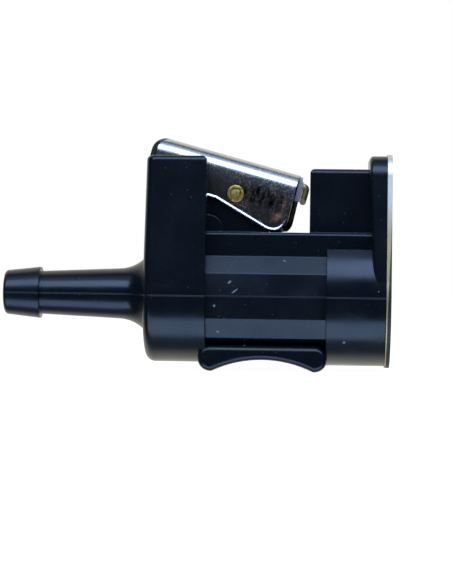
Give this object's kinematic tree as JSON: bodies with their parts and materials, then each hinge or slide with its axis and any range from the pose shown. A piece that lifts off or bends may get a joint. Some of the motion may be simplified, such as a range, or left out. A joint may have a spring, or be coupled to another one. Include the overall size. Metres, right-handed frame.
{
  "type": "fuel line connector",
  "caption": "Latching fuel line connector: hose barb, sealed socket with a spring valve, lock pin bore and a sprung release lever.",
  "frame": {"origin": "where the fuel axis meets the front face of the moulded body, under the face plate", "axes": "+X along the fuel axis from the hose barb to the mating face, +Z towards the latch lever, Y across"},
  "size_m": [0.0812, 0.0296, 0.0483],
  "materials": {
    "body": "satin black with a faint blue sheen",
    "plate": "bright edge, dull face",
    "screws": "bright",
    "collar": "matte",
    "seals": "matte",
    "valve": "matte",
    "valve_spring": "bright wire",
    "lever": "bright plated sheet, scratched",
    "pin": "dull",
    "latch_spring": "dull khaki wire"
  },
  "bodies": {
    "connector": {"connector_body": "body", "front_plate": "plate", "plate_screws": "screws", "seal_collar": "collar", "stem_seal": "seals", "collar_seal": "seals", "valve_spring": "valve_spring", "pivot_pin": "pin", "latch_spring": "latch_spring"},
    "lever": {"latch_lever": "lever"},
    "valve": {"valve_plunger": "valve", "valve_seal": "seals"}
  },
  "joints": [
    {"name": "latch_pivot", "type": "hinge", "parent": "connector", "child": "lever", "pos_m": [-0.0313, 0, 0.0212], "axis": [0, -1, 0], "range_deg": [0, 12], "stiffness_Nm_per_rad": 0.05, "springref_deg": -22.92, "deforming": ["latch_spring"]},
    {"name": "valve_slide", "type": "slide", "parent": "connector", "child": "valve", "axis": [-1, 0, 0], "range_m": [0, 0.005], "stiffness_N_per_m": 150, "springref_m": -0.012, "deforming": ["valve_spring"]}
  ]
}
